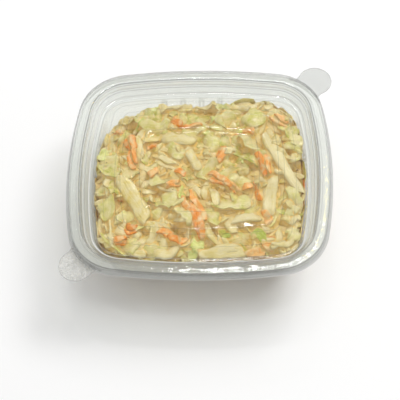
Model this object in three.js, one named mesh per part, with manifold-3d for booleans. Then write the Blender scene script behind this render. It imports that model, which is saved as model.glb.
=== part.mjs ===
// A clear rectangular deli tub of coleslaw: the thermoformed tray, its press-on lid, and the salad inside.
// Millimetres, +Z up, front of the tub towards -Y, standing on z = 0.
import * as THREE from 'three';
import { mergeVertices } from 'three/addons/utils/BufferGeometryUtils.js';
import Module from 'manifold-3d';

const wasm = await Module();
wasm.setup();

// Rim outline from above, along the top outer edge of the lid's flange.
const RIM_WIDTH = 137;
const RIM_DEPTH = 126.6;
const CORNER_RADIUS = 26.5;
const LEAST_RADIUS = 4;
const SIDE_BOW = 3;
const FRONT_BOW = 2.5;

const LID_SHEET = 0.6;
const TRAY_SHEET = 0.7;

// Upright ribs pressed into the middle of each tray wall.
const RIBS_PER_SIDE = 5;
const RIB_PITCH = 9.8;
const RIB_WIDTH = 3.6;
const RIB_DEPTH = 0.5;
const WALL_HALF_LENGTHS = [34.3, 39.2];

// Segments round the outline: the same corners on both sheets keep the gap between them even.
const CORNER_STEPS = 6;
const LID_SIDE_STEPS = 5;
const SALAD_CORNER_STEPS = 3;
const SALAD_SIDE_STEPS = 3;

// Pull tabs: centre, radius, underside and thickness.
const LID_TAB = { x: 62.2, y: 58.2, radius: 9.1, bottom: 36.6, thickness: 0.8, root: -0.5 };
const TRAY_TAB = { x: -60.9, y: -55.4, radius: 8.8, bottom: 35.9, thickness: 0.8, root: 0.9 };
const TAB_ROOT_FILLET = 5;
const TAB_ROOT_REACH = 0.8 * CORNER_RADIUS;

// Sheet sections as [inset from the rim outline, height], from the middle of the panel out to the edge.
const LID_SECTION = [
  [38.6, 39.0],
  [37.2, 39.5],
  [27.2, 39.5],
  [24.2, 38.9],
  [18.0, 36.8],
  [12.6, 34.2],
  [10.3, 34.2],
  [8.5, 37.2],
  [7.4, 37.9],
  [6.9, 40.1],
  [6.1, 40.8],
  [0.6, 41.0],
  [-0.2, 40.3],
  [-1.0, 37.1],
];
const TRAY_SECTION = [
  [24.0, 0.7],
  [19.5, 2.9],
  [17.4, 7.5],
  [16.8, 10.4, 'rib'],
  [12.9, 28.6, 'rib'],
  [12.1, 31.9],
  [10.0, 32.6],
  [7.6, 36.1],
  [4.6, 39.8],
  [1.0, 40.0],
  [0.35, 36.2],
];

const WALL_RINGS = 6;

// The salad: how close it comes to the tray and the lid, and how its surface rises and falls.
const SALAD_GAP = 1.5;
const SHRED_GAP = 1.2;
const SALAD_HEADROOM = 3.4;
const SALAD_LEVEL = 29.5;
const SALAD_SUNK = 0.9;
const SALAD_EDGE_DROP = 0.5;
const SALAD_RIPPLE = 0.7;
const SALAD_FLANK = [
  [25.2, 1.2],
  [21.8, 2.9],
  [19.4, 7.6],
  [17.3, 17],
];
const SALAD_RINGS = [16, 21, 28, 35, 43, 51];
const SALAD_SWELLS = [
  { x: 0, y: -4, rise: 2.8, reach: 26 },
  { x: -46, y: 46, rise: -11.5, reach: 13 },
  { x: -3, y: 51, rise: -7, reach: 12 },
  { x: 33, y: 50, rise: 3.2, reach: 9 },
  { x: 50, y: 42, rise: -3, reach: 9 },
  { x: 56, y: 10, rise: 2.4, reach: 18 },
  { x: -56, y: 4, rise: 1.6, reach: 12 },
  { x: 34, y: -44, rise: -1.5, reach: 16 },
];

// Shreds lie in a loose grid; one in four is a wide piece of leaf.
const SHRED_COLUMNS = 8;
const SHRED_ROWS = 7;
const SHRED_FIELD = [47, 43];
const SHRED_STEPS = 3;
const SHRED_TAPER = 0.9;
const LEAF_SHARE = 0.25;
const LEAF = { length: [13, 20], width: [7, 10], thickness: [1.2, 1.6] };
const STRIP = { length: [16, 30], width: [3.2, 6], thickness: [1.5, 2.6] };

const seeded = { state: 20417 };

/** Seeded random number from low to high. */
function random(low, high) {
  seeded.state = (seeded.state * 1664525 + 1013904223) % 4294967296;
  return low + (high - low) * seeded.state / 4294967296;
}

/** Evenly spaced positions along a side, as shares of its half length. */
function plainStations(steps) {
  return () => Array.from({ length: steps + 1 }, (_, i) => 2 * i / steps - 1);
}

/** Positions along a ribbed side: foot, crest and foot of each rib. */
function ribStations(halfLength) {
  const stations = [-1];
  for (let rib = 0; rib < RIBS_PER_SIDE; rib += 1) {
    const middle = (rib - (RIBS_PER_SIDE - 1) / 2) * RIB_PITCH;
    for (const across of [-RIB_WIDTH / 2, 0, RIB_WIDTH / 2]) {
      stations.push((middle + across) / halfLength);
    }
  }
  stations.push(1);
  return stations;
}

/** Share of the rib's depth at a distance from the side's middle. */
function ribShare(along) {
  const nearest = Math.round(along / RIB_PITCH);
  if (Math.abs(nearest) > (RIBS_PER_SIDE - 1) / 2) {
    return 0;
  }
  return Math.max(0, 1 - Math.abs(along / RIB_PITCH - nearest) * 2 * RIB_PITCH / RIB_WIDTH);
}

/** The rim outline moved inwards: bowed sides joined by round corners, counter-clockwise from above. */
function outline(inset, stationsFor, ribDepth = 0, cornerSteps = CORNER_STEPS) {
  const corner = Math.max(CORNER_RADIUS - inset, LEAST_RADIUS);
  const reaches = [RIM_WIDTH / 2 - inset, RIM_DEPTH / 2 - inset];
  const flatter = 1 - Math.max(inset - CORNER_RADIUS, 0) / (RIM_DEPTH / 2 - CORNER_RADIUS);
  const bows = [SIDE_BOW * flatter, FRONT_BOW * flatter];
  const halves = [reaches[1] - corner - bows[1], reaches[0] - corner - bows[0]];
  const radii = halves.map((half, i) => (half * half + bows[i] * bows[i]) / (2 * bows[i]));
  const spans = halves.map((half, i) => Math.asin(half / radii[i]));
  const points = [];
  for (let quarter = 0; quarter < 4; quarter += 1) {
    const own = quarter % 2;
    const turn = quarter * Math.PI / 2;
    const centre = new THREE.Vector2(reaches[own] - corner - radii[own], 0);
    for (const share of stationsFor(WALL_HALF_LENGTHS[own])) {
      const rib = ribDepth * ribShare(share * WALL_HALF_LENGTHS[own]);
      const point = new THREE.Vector2(radii[own] + corner - rib, 0);
      point.rotateAround(new THREE.Vector2(), share * spans[own]);
      points.push(point.add(centre).rotateAround(new THREE.Vector2(), turn));
    }
    const cornerCentre = new THREE.Vector2(reaches[own] - corner - bows[own], halves[own]);
    const sweep = Math.PI / 2 - spans[0] - spans[1];
    for (let step = 1; step < cornerSteps; step += 1) {
      const point = new THREE.Vector2(corner, 0);
      point.rotateAround(new THREE.Vector2(), spans[own] + sweep * step / cornerSteps);
      points.push(point.add(cornerCentre).rotateAround(new THREE.Vector2(), turn));
    }
  }
  return points;
}

/** The other face of a sheet: the section moved down and outwards by the sheet's thickness. */
function underside(section, thickness) {
  const normals = [new THREE.Vector2(0, -1)];
  section.slice(1).forEach(([inset, height], i) => {
    const edge = new THREE.Vector2(inset - section[i][0], height - section[i][1]);
    normals.push(new THREE.Vector2(-edge.y, edge.x).normalize());
  });
  return section.map(([inset, height, mark], i) => {
    const before = normals[i];
    const after = normals[Math.min(i + 1, normals.length - 1)];
    const mitre = before.clone().add(after).normalize();
    mitre.multiplyScalar(thickness / Math.max(mitre.dot(after), 0.6));
    return [inset + mitre.x, height + mitre.y, mark];
  });
}

/** Closed geometry through a stack of rings, capped flat at both ends. */
function loft(rings) {
  const size = rings[0].length;
  const positions = rings.flat().flatMap((point) => [point.x, point.y, point.z]);
  const index = [];
  for (let row = 0; row < rings.length - 1; row += 1) {
    for (let i = 0; i < size; i += 1) {
      const next = (i + 1) % size;
      const [a, b] = [row * size + i, row * size + next];
      const [c, d] = [a + size, b + size];
      index.push(a, c, b, b, c, d);
    }
  }
  const last = (rings.length - 1) * size;
  for (const [a, b, c] of THREE.ShapeUtils.triangulateShape(rings[0], [])) {
    index.push(a, b, c);
  }
  for (const [a, b, c] of THREE.ShapeUtils.triangulateShape(rings.at(-1), [])) {
    index.push(last + a, last + c, last + b);
  }
  const geometry = new THREE.BufferGeometry();
  geometry.setAttribute('position', new THREE.Float32BufferAttribute(positions, 3));
  geometry.setIndex(index);
  return geometry;
}

/** Manifold solid from a closed three.js geometry. */
function solid(geometry) {
  const bare = geometry.clone();
  bare.deleteAttribute('normal');
  bare.deleteAttribute('uv');
  const merged = mergeVertices(bare, 1e-5);
  return new wasm.Manifold(new wasm.Mesh({
    numProp: 3,
    vertProperties: new Float32Array(merged.attributes.position.array),
    triVerts: new Uint32Array(merged.index.array),
  }));
}

/** three.js geometry from a manifold solid. */
function geometryOf(body) {
  const mesh = body.getMesh();
  const geometry = new THREE.BufferGeometry();
  geometry.setAttribute('position', new THREE.BufferAttribute(mesh.vertProperties, 3));
  geometry.setIndex(new THREE.BufferAttribute(mesh.triVerts, 1));
  geometry.computeVertexNormals();
  return geometry;
}

/** A formed sheet: the section swept round the rim, with its underside at the sheet's thickness. */
function sheet(section, thickness, stationsFor) {
  const loop = [...section, ...underside(section, thickness).reverse()];
  return loft(loop.map(([inset, height, mark]) => (
    outline(inset, stationsFor, mark ? RIB_DEPTH : 0).map(
      (point) => new THREE.Vector3(point.x, point.y, height),
    )
  )));
}

/** A round pull tab, filleted into the rim's corner and cut off along the sheet's edge. */
function tab({ x, y, radius, bottom, thickness, root }) {
  const cornerCentre = new THREE.Vector2(
    Math.sign(x) * (RIM_WIDTH / 2 - SIDE_BOW - CORNER_RADIUS),
    Math.sign(y) * (RIM_DEPTH / 2 - FRONT_BOW - CORNER_RADIUS),
  );
  const outward = new THREE.Vector2(x, y).sub(cornerCentre);
  const reach = outward.length();
  const toCorner = CORNER_RADIUS + TAB_ROOT_FILLET;
  const toTab = radius + TAB_ROOT_FILLET;
  const along = (toCorner ** 2 - toTab ** 2 - reach ** 2) / (2 * reach);
  const across = Math.sqrt(toTab ** 2 - along ** 2);
  const atTab = Math.atan2(across, along);
  const atCorner = Math.atan2(across, along + reach);
  const shape = new THREE.Shape();
  shape.moveTo(TAB_ROOT_REACH * Math.cos(atCorner) - reach, -TAB_ROOT_REACH * Math.sin(atCorner));
  shape.absarc(along, -across, TAB_ROOT_FILLET, Math.PI - atCorner, Math.PI - atTab, true);
  shape.absarc(0, 0, radius, -atTab, atTab, false);
  shape.absarc(along, across, TAB_ROOT_FILLET, atTab - Math.PI, atCorner - Math.PI, true);
  shape.lineTo(TAB_ROOT_REACH * Math.cos(atCorner) - reach, TAB_ROOT_REACH * Math.sin(atCorner));
  const plate = new THREE.ExtrudeGeometry(shape, {
    depth: thickness,
    bevelEnabled: false,
    curveSegments: 9,
  });
  plate.rotateZ(outward.angle());
  plate.translate(x, y, bottom);
  const inside = new THREE.Shape(outline(root, plainStations(LID_SIDE_STEPS)));
  const plug = new THREE.ExtrudeGeometry(inside, { depth: 4 * thickness, bevelEnabled: false });
  plug.translate(0, 0, bottom - 2 * thickness);
  return solid(plate).subtract(solid(plug));
}

/** The rim outline moved inwards, as coarse as the salad needs it. */
function saladOutline(inset) {
  return outline(inset, plainStations(SALAD_SIDE_STEPS), 0, SALAD_CORNER_STEPS);
}

/** How far a point lies out, as a share of the way to the outline at an inset. */
function shareOut(point, inset) {
  const wall = saladOutline(inset);
  return wall.reduce((most, from, i) => {
    const edge = wall[(i + 1) % wall.length].clone().sub(from);
    const normal = new THREE.Vector2(edge.y, -edge.x).normalize();
    return Math.max(most, normal.dot(point) / normal.dot(from));
  }, 0);
}

/** Height of the lid over a point. */
function lidOver(point) {
  const faces = LID_SECTION.slice(0, WALL_RINGS);
  for (let i = faces.length - 1; i > 0; i -= 1) {
    const [[insetOut, low], [insetIn, high]] = [faces[i], faces[i - 1]];
    const beyond = shareOut(point, insetIn) - 1;
    const within = 1 - shareOut(point, insetOut);
    if (beyond > 0) {
      return low + (high - low) * Math.max(0, within) / (Math.max(0, within) + beyond);
    }
  }
  return faces[0][1];
}

/** Height of the salad's surface. */
function saladTop(x, y) {
  const swell = SALAD_SWELLS.reduce((sum, { x: cx, y: cy, rise, reach }) => (
    sum + rise * Math.exp(-((x - cx) ** 2 + (y - cy) ** 2) / (2 * reach * reach))
  ), 0);
  const ripple = SALAD_RIPPLE * Math.sin(x / 5.1 + 1.3) * Math.cos(y / 6.3 - 0.4);
  const roof = lidOver(new THREE.Vector2(x, y)) - SALAD_HEADROOM;
  return Math.min(SALAD_LEVEL + swell + ripple, roof);
}

/** Inset of the tray's inner face at a height. */
function trayInset(height) {
  const faces = TRAY_SECTION.slice(0, WALL_RINGS);
  for (let i = 1; i < faces.length; i += 1) {
    const [[insetLow, low], [insetHigh, high]] = [faces[i - 1], faces[i]];
    if (height <= high) {
      return insetLow + (insetHigh - insetLow) * Math.max(0, (height - low) / (high - low));
    }
  }
  return faces.at(-1)[0];
}

/** Pulls a point in until it clears the tray wall by a gap. */
function clearOfTray(point, gap) {
  const over = Math.max(1, shareOut(point, trayInset(point.z) + gap));
  point.x /= over;
  point.y /= over;
  return point;
}

/** The packed middle of the salad, up to a little under the loose shreds. */
function saladCore() {
  const rings = SALAD_FLANK.map(([inset, height]) => (
    saladOutline(inset).map((point) => new THREE.Vector3(point.x, point.y, height))
  ));
  for (const inset of SALAD_RINGS) {
    const drop = SALAD_SUNK + (inset === SALAD_RINGS[0] ? SALAD_EDGE_DROP : 0);
    rings.push(saladOutline(inset).map((point) => {
      const height = saladTop(point.x, point.y) - drop;
      return clearOfTray(new THREE.Vector3(point.x, point.y, height), SALAD_GAP);
    }));
  }
  return loft(rings.reverse());
}

/** One cut strip of cabbage or carrot: a bent bar with four sides that follows the salad's surface. */
function shred({ x, y, heading, length, width, thickness, bend, roll, lift }) {
  const half = [width / 2, thickness / 2];
  const rings = [];
  for (let step = 0; step <= SHRED_STEPS; step += 1) {
    const share = step / SHRED_STEPS - 0.5;
    const course = heading + bend * share;
    const middle = new THREE.Vector3(
      x + length * share * Math.cos(heading) - length * bend * share * share * Math.sin(heading),
      y + length * share * Math.sin(heading) + length * bend * share * share * Math.cos(heading),
      0,
    );
    middle.z = saladTop(middle.x, middle.y) + lift - 3.2 * lift * share * share;
    clearOfTray(middle, SHRED_GAP + half[0]);
    const across = new THREE.Vector3(-Math.sin(course), Math.cos(course), 0);
    const upward = new THREE.Vector3(0, 0, 1);
    const twist = roll + 0.5 * bend * share;
    const taper = 1 - SHRED_TAPER * share * share;
    rings.push([[1, 1], [-1, 1], [-1, -1], [1, -1]].map(([side, face]) => {
      const out = side * half[0] * taper;
      const up = face * half[1] * taper;
      return middle.clone()
        .addScaledVector(across, out * Math.cos(twist) - up * Math.sin(twist))
        .addScaledVector(upward, out * Math.sin(twist) + up * Math.cos(twist));
    }));
  }
  return rings;
}

/** Geometry of a bar through four-cornered rings. */
function bar(rings) {
  const positions = rings.flat().flatMap((point) => [point.x, point.y, point.z]);
  const index = [0, 2, 1, 0, 3, 2];
  for (let row = 0; row < rings.length - 1; row += 1) {
    for (let i = 0; i < 4; i += 1) {
      const [a, b] = [row * 4 + i, row * 4 + (i + 1) % 4];
      index.push(a, b, a + 4, b, b + 4, a + 4);
    }
  }
  const end = (rings.length - 1) * 4;
  index.push(end, end + 1, end + 2, end, end + 2, end + 3);
  const geometry = new THREE.BufferGeometry();
  geometry.setAttribute('position', new THREE.Float32BufferAttribute(positions, 3));
  geometry.setIndex(index);
  return geometry;
}

/** The salad: the core with shreds spread evenly over it and fused on. A loose scrap is dropped. */
function salad() {
  let body = solid(saladCore());
  for (let cell = 0; cell < SHRED_COLUMNS * SHRED_ROWS; cell += 1) {
    const column = cell % SHRED_COLUMNS;
    const row = Math.floor(cell / SHRED_COLUMNS);
    const cut = random(0, 1) < LEAF_SHARE ? LEAF : STRIP;
    const strip = solid(bar(shred({
      x: ((column + 0.5 + random(-0.3, 0.3)) / SHRED_COLUMNS * 2 - 1) * SHRED_FIELD[0],
      y: ((row + 0.5 + random(-0.3, 0.3)) / SHRED_ROWS * 2 - 1) * SHRED_FIELD[1],
      heading: random(0, Math.PI),
      length: random(...cut.length),
      width: random(...cut.width),
      thickness: random(...cut.thickness),
      bend: random(-0.9, 0.9),
      roll: random(-0.4, 0.4),
      lift: random(0, 1.5),
    })));
    const joined = body.add(strip);
    const inOnePiece = joined.decompose().length === 1;
    body = inOnePiece ? joined : body;
  }
  return body;
}

const clearPlastic = { color: 0xe4e9ea, roughness: 0.08, metalness: 0, transparent: true, opacity: 0.35 };
const traySolid = solid(sheet(TRAY_SECTION, TRAY_SHEET, ribStations)).add(tab(TRAY_TAB));
const tray = new THREE.Mesh(geometryOf(traySolid), new THREE.MeshStandardMaterial(clearPlastic));
tray.name = 'tray';

const plainSides = plainStations(LID_SIDE_STEPS);
const lidSolid = solid(sheet(LID_SECTION, LID_SHEET, plainSides)).add(tab(LID_TAB));
const lid = new THREE.Mesh(geometryOf(lidSolid), new THREE.MeshStandardMaterial(clearPlastic));
lid.name = 'lid';

const dressedCabbage = { color: 0xdcd3ab, roughness: 0.4, metalness: 0 };
const coleslaw = new THREE.Mesh(geometryOf(salad()), new THREE.MeshStandardMaterial(dressedCabbage));
coleslaw.name = 'coleslaw';

const tub = new THREE.Group();
tub.add(tray, lid, coleslaw);

export default tub;
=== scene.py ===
"""Coleslaw in a clear rectangular deli tub, shut: tray, press-on lid and the dressed salad inside."""

import math

import bpy
import numpy as np
from mathutils import Matrix, Vector
from mathutils.bvhtree import BVHTree


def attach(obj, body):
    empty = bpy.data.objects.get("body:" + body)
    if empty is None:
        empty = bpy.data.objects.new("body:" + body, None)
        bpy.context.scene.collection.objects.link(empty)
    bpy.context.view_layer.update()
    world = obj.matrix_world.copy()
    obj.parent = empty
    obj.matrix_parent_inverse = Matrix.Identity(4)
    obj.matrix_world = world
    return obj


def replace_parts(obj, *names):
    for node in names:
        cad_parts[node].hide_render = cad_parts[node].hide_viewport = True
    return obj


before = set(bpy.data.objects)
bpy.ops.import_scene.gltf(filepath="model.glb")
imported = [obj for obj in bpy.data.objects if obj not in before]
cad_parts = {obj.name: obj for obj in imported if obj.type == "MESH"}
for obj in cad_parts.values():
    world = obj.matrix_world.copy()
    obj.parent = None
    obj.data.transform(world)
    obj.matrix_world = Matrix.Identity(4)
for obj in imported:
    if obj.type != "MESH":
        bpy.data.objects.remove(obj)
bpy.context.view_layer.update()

MM = 0.001
rng = np.random.default_rng(7121)

# -------------------- sizes, in millimetres

RIM_WIDTH, RIM_DEPTH, RIM_HEIGHT = 137.0, 126.6, 41.0
CORNER_RADIUS, LEAST_RADIUS = 26.5, 4.0
SIDE_BOW, FRONT_BOW = 3.0, 2.5
LID_SHEET, TRAY_SHEET = 0.6, 0.7
RIBS_PER_SIDE, RIB_PITCH, RIB_WIDTH, RIB_DEPTH = 5, 9.8, 4.2, 0.45
WALL_HALF_LENGTHS = (34.3, 39.2)
DEEPEST_OUTLINE, MIDDLE_SHARE = 54.0, 0.03

# A rounded fold: how far it reaches when gentle, what a hard one adds, the most it takes of a flat part,
# and the turn at which it counts as fully hard.
FOLD_REACH, HARD_REACH, MOST_OF_FLAT = 0.15, 0.45, 0.45
HARD_TURN = math.radians(55)

# How much of its painted dark line the sheet shows, as a share: on any ridge at least, at its cut edge, on
# the skirt below that, on a rib's slopes and at a tab's edge. The line is painted shade where a real sheet
# bends the light away. The insets say where the cut edge lies.
LEAST_LINE, EDGE_GREY, SKIRT_GREY, RIB_GREY, TAB_GREY = 0.3, 0.3, 0.05, 0.15, 0.5
EDGE_INSETS = (-0.6, -0.2, 0.1, 0.4)

# The rim's milkiness as a share, the inset where it ends and the width over which it fades.
RIM_HAZE, RIM_HAZE_REACH, RIM_HAZE_FADE = 0.08, 12.5, 4.0

# Sheet sections as (inset from the rim outline, height, share of the rib depth), centre outwards.
LID_SECTION = (
    (62.0, 39.0, 0),
    (39.6, 39.0, 0),
    (37.2, 39.5, 0),
    (27.2, 39.5, 0),
    (24.2, 38.9, 0),
    (18.0, 36.8, 0),
    (12.6, 34.2, 0),
    (10.3, 34.2, 0),
    (8.5, 37.2, 0),
    (7.4, 37.9, 0),
    (6.9, 40.1, 0),
    (6.1, 40.95, 0),
    (0.6, 41.0, 0),
    (-0.2, 40.3, 0),
    (-1.0, 37.1, 0),
)
TRAY_SECTION = (
    (62.0, 0.7, 0),
    (24.0, 0.7, 0),
    (19.5, 2.9, 0),
    (17.4, 7.5, 0),
    (16.8, 10.4, 1),
    (12.9, 28.6, 1),
    (12.1, 31.9, 0),
    (10.0, 32.6, 0),
    (7.6, 36.1, 0),
    (4.6, 39.8, 0),
    (1.0, 40.0, 0),
    (0.35, 36.2, 0),
)
LID_TAB = {"x": 62.2, "y": 58.2, "radius": 9.1, "bottom": 36.6, "root": -0.9}
TRAY_TAB = {"x": -60.9, "y": -55.4, "radius": 8.8, "bottom": 35.9, "root": 0.4}
TAB_ROOT_FILLET, TAB_THICK, TAB_EDGE, TAB_HEIGHT = 5.0, 0.8, 0.25, 37.0
CORNER_CENTRE = (RIM_WIDTH / 2 - SIDE_BOW - CORNER_RADIUS, RIM_DEPTH / 2 - FRONT_BOW - CORNER_RADIUS)

# Where the salad's surface swells or sinks: plan place, rise and reach.
SALAD_LEVEL = 30.0
RIPPLE_RISE, RIPPLE_REACH, RIPPLE_START = 0.7, (5.1, 6.3), (1.3, -0.4)
SALAD_SWELLS = (
    (0, -4, 2.8, 26),
    (-46, 46, -11.5, 13),
    (-3, 51, -7.0, 12),
    (33, 50, 3.2, 9),
    (50, 42, -3.0, 9),
    (56, 10, 2.4, 18),
    (-56, 4, 1.6, 12),
    (34, -44, -1.5, 16),
)

# The tray's wall as the salad meets it: how high it is, the inset of its band and the height of the
# salad's edge there.
WALL_TOP, WALL_BAND, SALAD_EDGE = 34, 16, 27.5

# Where loose pieces may land: half the field in plan, the gap kept to the wall as it is at one height,
# and how little the heap may still lack there.
FILL_FIELD, SPRINKLE_FIELD = np.array((53, 49)), np.array((52, 48))
SPOT_HEIGHT, SPOT_GAP, TOO_FULL = 26.0, 3.0, -0.5

CORE_STEPS = (70, 20)
CUT_EDGE_DEGREES, CARROT_STRAND = 62, 2.4

# -------------------- mesh helpers


def unit(vectors):
    """Each row at length 1."""
    return vectors / np.linalg.norm(vectors, axis=-1, keepdims=True)


def turned(points, angle):
    """Plan points turned about the origin."""
    c, s = math.cos(angle), math.sin(angle)
    return points @ np.array([[c, s], [-s, c]])


def joined(rows, size, start=0, hollow=False):
    """Faces that join closed rings of points, row after row, with a cap on the first and the last. The
    rings of a hollow sheet run the other way."""
    around, ahead = np.arange(size) + start, (np.arange(size) + 1) % size + start
    faces = [around[::-1].tolist()]
    for row in np.arange(rows - 1) * size:
        faces += (np.column_stack([around, ahead, ahead + size, around + size]) + row).tolist()
    faces.append((around + (rows - 1) * size).tolist())
    return [face[:1] + face[:0:-1] for face in faces] if hollow else faces


def placed(name, data):
    """An object in the scene."""
    made = bpy.data.objects.new(name, data)
    bpy.context.scene.collection.objects.link(made)
    return made


def piece(name, points, faces, material, grain=None, sharp=None, **at_points):
    """A smooth mesh piece that rides on the tub, with what its material reads at each point."""
    mesh = bpy.data.meshes.new(name)
    mesh.from_pydata((np.asarray(points) * MM).tolist(), [], faces)
    for key, values in at_points.items():
        mesh.attributes.new(key, "FLOAT", "POINT").data.foreach_set("value", np.asarray(values, float))
    if grain is not None:
        corner = np.empty(len(mesh.loops), int)
        mesh.loops.foreach_get("vertex_index", corner)
        mesh.uv_layers.new(name="grain").data.foreach_set("uv", np.asarray(grain, float)[corner].ravel())
    mesh.polygons.foreach_set("use_smooth", [True] * len(mesh.polygons))
    mesh.materials.append(material)
    mesh.update()
    if sharp:
        mesh.set_sharp_from_angle(angle=math.radians(sharp))
    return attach(placed(name, mesh), "root")


# -------------------- the formed sheets


def rib_share(along):
    """Share of the rib's depth at a distance from the side's middle."""
    nearest = np.round(along / RIB_PITCH)
    off = (along - nearest * RIB_PITCH) / (RIB_WIDTH / 2)
    crest = np.where(np.abs(off) < 1, 0.5 + 0.5 * np.cos(np.pi * off), 0)
    return np.where(np.abs(nearest) > (RIBS_PER_SIDE - 1) / 2, 0, crest)


def outline(inset, side_steps, corner_steps, rib=0.0):
    """The rim outline moved inwards: bowed sides joined by round corners, seen from above."""
    corner = max(CORNER_RADIUS - inset, LEAST_RADIUS)
    reaches = (RIM_WIDTH / 2 - inset, RIM_DEPTH / 2 - inset)
    flatter = 1 - max(inset - CORNER_RADIUS, 0) / (RIM_DEPTH / 2 - CORNER_RADIUS)
    bows = (SIDE_BOW * flatter, FRONT_BOW * flatter)
    halves = (reaches[1] - corner - bows[1], reaches[0] - corner - bows[0])
    radii = [(half * half + bow * bow) / (2 * bow) for half, bow in zip(halves, bows)]
    spans = [math.asin(half / radius) for half, radius in zip(halves, radii)]
    points = []
    for quarter in range(4):
        own = quarter % 2
        share = np.linspace(-1, 1, side_steps + 1)
        radius = radii[own] + corner - rib * rib_share(share * WALL_HALF_LENGTHS[own])
        angle = share * spans[own]
        side = np.column_stack([radius * np.cos(angle), radius * np.sin(angle)])
        side[:, 0] += reaches[own] - corner - radii[own]
        sweep = math.pi / 2 - sum(spans)
        angle = spans[own] + sweep * np.arange(1, corner_steps) / corner_steps
        bend = np.column_stack([corner * np.cos(angle), corner * np.sin(angle)])
        bend += (reaches[own] - corner - bows[own], halves[own])
        points.append(turned(np.vstack([side, bend]), quarter * math.pi / 2))
    return np.vstack(points)


def ring_at(inset, side_steps, corner_steps, rib=0.0):
    """The outline at any inset, down to a dot in the middle."""
    ring = outline(min(inset, DEEPEST_OUTLINE), side_steps, corner_steps, rib)
    left = 1 - (inset - DEEPEST_OUTLINE) / (RIM_DEPTH / 2 - DEEPEST_OUTLINE)
    return ring * np.clip(left, MIDDLE_SHARE, 1)


def softened(section, steps=5):
    """A section with each fold rounded, as a sheet comes off its mould, and the painted line it shows
    there,
    from how hard it is folded: above nothing on a ridge, for a painted dark line, below nothing in a
    valley, for a painted bright line."""
    section = np.column_stack([np.array(section, float), np.zeros(len(section))])
    soft = [section[0]]
    for before, fold, after in zip(section, section[1:], section[2:]):
        ways = [other[:2] - fold[:2] for other in (before, after)]
        reaches = [np.linalg.norm(way) for way in ways]
        turn = math.acos(np.clip(-ways[0] @ ways[1] / (reaches[0] * reaches[1]), -1, 1))
        hard = min(1.0, turn / HARD_TURN)
        cut = FOLD_REACH + HARD_REACH * hard
        ridge = math.copysign(1, ways[0][1] * ways[1][0] - ways[0][0] * ways[1][1])
        start, stop = [
            fold + (other - fold) * min(cut / reach, MOST_OF_FLAT)
            for other, reach in zip((before, after), reaches)
        ]
        line = ridge * max(hard**1.5, LEAST_LINE * (ridge > 0))
        for t in np.linspace(0, 1, steps):
            point = (1 - t) ** 2 * start + 2 * t * (1 - t) * fold + t * t * stop
            point[3] = line * math.sin(math.pi * t)
            soft.append(point)
    soft.append(section[-1])
    return np.array(soft)


def underside(section, thickness):
    """The sheet's other face. At a sharp fold its corner is kept from reaching too far."""
    least_cosine = 0.6
    edges = np.diff(section[:, :2], axis=0)
    normals = unit(np.column_stack([-edges[:, 1], edges[:, 0]]))
    normals = np.vstack([[0, -1], normals, normals[-1]])
    mitre = unit(normals[:-1] + normals[1:])
    lengths = thickness / np.maximum((mitre * normals[1:]).sum(1), least_cosine)
    under = section.copy()
    under[:, :2] += mitre * lengths[:, None]
    under[:, 3] = 0
    return under


def sheet(name, section, thickness, material, side_steps, corner_steps, crisp):
    """A formed sheet swept round the rim, closed at its edge and flat in its middle. Each point knows how
    strong a painted line it shows, from how hard the sheet is folded there, its cut edge and its ribs, and
    how near the rim it lies."""
    top = softened(section)
    loop = np.vstack([top, underside(top, thickness)[::-1]])
    rings, fold, rim = [], [], []
    for inset, height, share, hard in loop:
        ring = ring_at(inset, side_steps, corner_steps, share * RIB_DEPTH)
        rings.append(np.column_stack([ring, np.full(len(ring), height)]))
        raised = np.linalg.norm(ring - ring_at(inset, side_steps, corner_steps), axis=1) / RIB_DEPTH
        # Painted shade: a dark line at the cut edge and the skirt and on the ribs' slopes, added to the
        # fold's painted line.
        edge = float(np.interp(inset, EDGE_INSETS, (SKIRT_GREY, EDGE_GREY, EDGE_GREY, 0)))
        fold += (crisp * hard + edge + RIB_GREY * 4 * raised * (1 - raised)).tolist()
        rim += [float(np.clip((RIM_HAZE_REACH - inset) / RIM_HAZE_FADE, 0, 1))] * len(ring)
    faces = joined(len(rings), len(rings[0]), hollow=True)
    return piece(name, np.vstack(rings), faces, material, fold=fold, rim=rim)


def tab(name, spec, material):
    """A round pull tab, filleted into the rim's corner, with soft edges."""
    at = np.array([spec["x"], spec["y"]])
    outward = at - np.sign(at) * CORNER_CENTRE
    reach = np.linalg.norm(outward)
    to_corner = CORNER_RADIUS + TAB_ROOT_FILLET
    to_tab = spec["radius"] + TAB_ROOT_FILLET
    along = (to_corner**2 - to_tab**2 - reach**2) / (2 * reach)
    across = math.sqrt(to_tab**2 - along**2)
    at_tab = math.atan2(across, along)
    at_corner = math.atan2(across, along + reach)

    def arc(x, y, radius, start, stop, steps):
        angle = np.linspace(start, stop, steps)
        return np.column_stack([x + radius * np.cos(angle), y + radius * np.sin(angle)])

    root = CORNER_RADIUS - spec["root"]
    root_steps, fillet_steps, tip_steps = 24, 12, 48
    rim = np.vstack([
        arc(-reach, 0, root, at_corner, -at_corner, root_steps),
        arc(along, -across, TAB_ROOT_FILLET, math.pi - at_corner, math.pi - at_tab, fillet_steps),
        arc(0, 0, spec["radius"], -at_tab, at_tab, tip_steps)[1:],
        arc(along, across, TAB_ROOT_FILLET, at_tab - math.pi, at_corner - math.pi, fillet_steps)[1:],
    ])
    middle = rim.mean(0)
    layers = []
    for shrink, height in (
        (TAB_EDGE, 0), (0, TAB_EDGE), (0, TAB_THICK - TAB_EDGE), (TAB_EDGE, TAB_THICK),
    ):
        inward = unit(middle - rim) * shrink
        layer = turned(rim + inward, math.atan2(outward[1], outward[0])) + at
        layers.append(np.column_stack([layer, np.full(len(layer), spec["bottom"] + height)]))
    faces = joined(len(layers), len(rim))
    # A painted dark line round the tab's rounded edge.
    fold = np.repeat((0, TAB_GREY, TAB_GREY, 0), len(rim))
    return piece(name, np.vstack(layers), faces, material, sharp=30, fold=fold)


# -------------------- the salad's bed


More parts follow.
